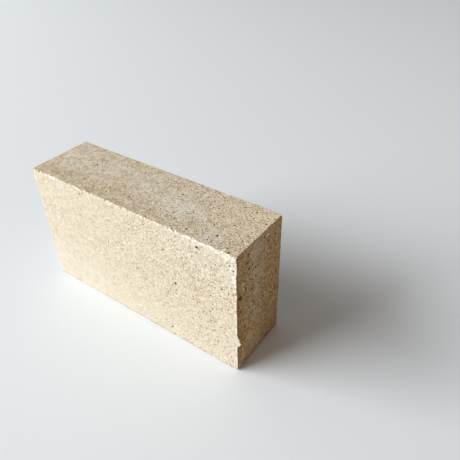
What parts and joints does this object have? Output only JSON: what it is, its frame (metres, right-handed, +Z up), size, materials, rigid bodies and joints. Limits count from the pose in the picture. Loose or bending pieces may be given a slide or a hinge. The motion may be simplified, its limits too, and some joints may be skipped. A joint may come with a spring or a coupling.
{
  "type": "refractory firebrick",
  "caption": "Rectangular refractory firebrick of pale buff fireclay with worn, lightly chipped edges, for lining kilns, stoves and fireplaces.",
  "frame": {"origin": "middle of the underside, as the brick stands on its long narrow side", "axes": "+X along the length, +Y through the thickness with the broad front face towards -Y, +Z up"},
  "size_m": [0.23, 0.065, 0.127],
  "materials": {
    "fireclay": "matt, grainy, finely pored"
  },
  "bodies": {
    "root": {"firebrick": "fireclay"}
  },
  "joints": []
}
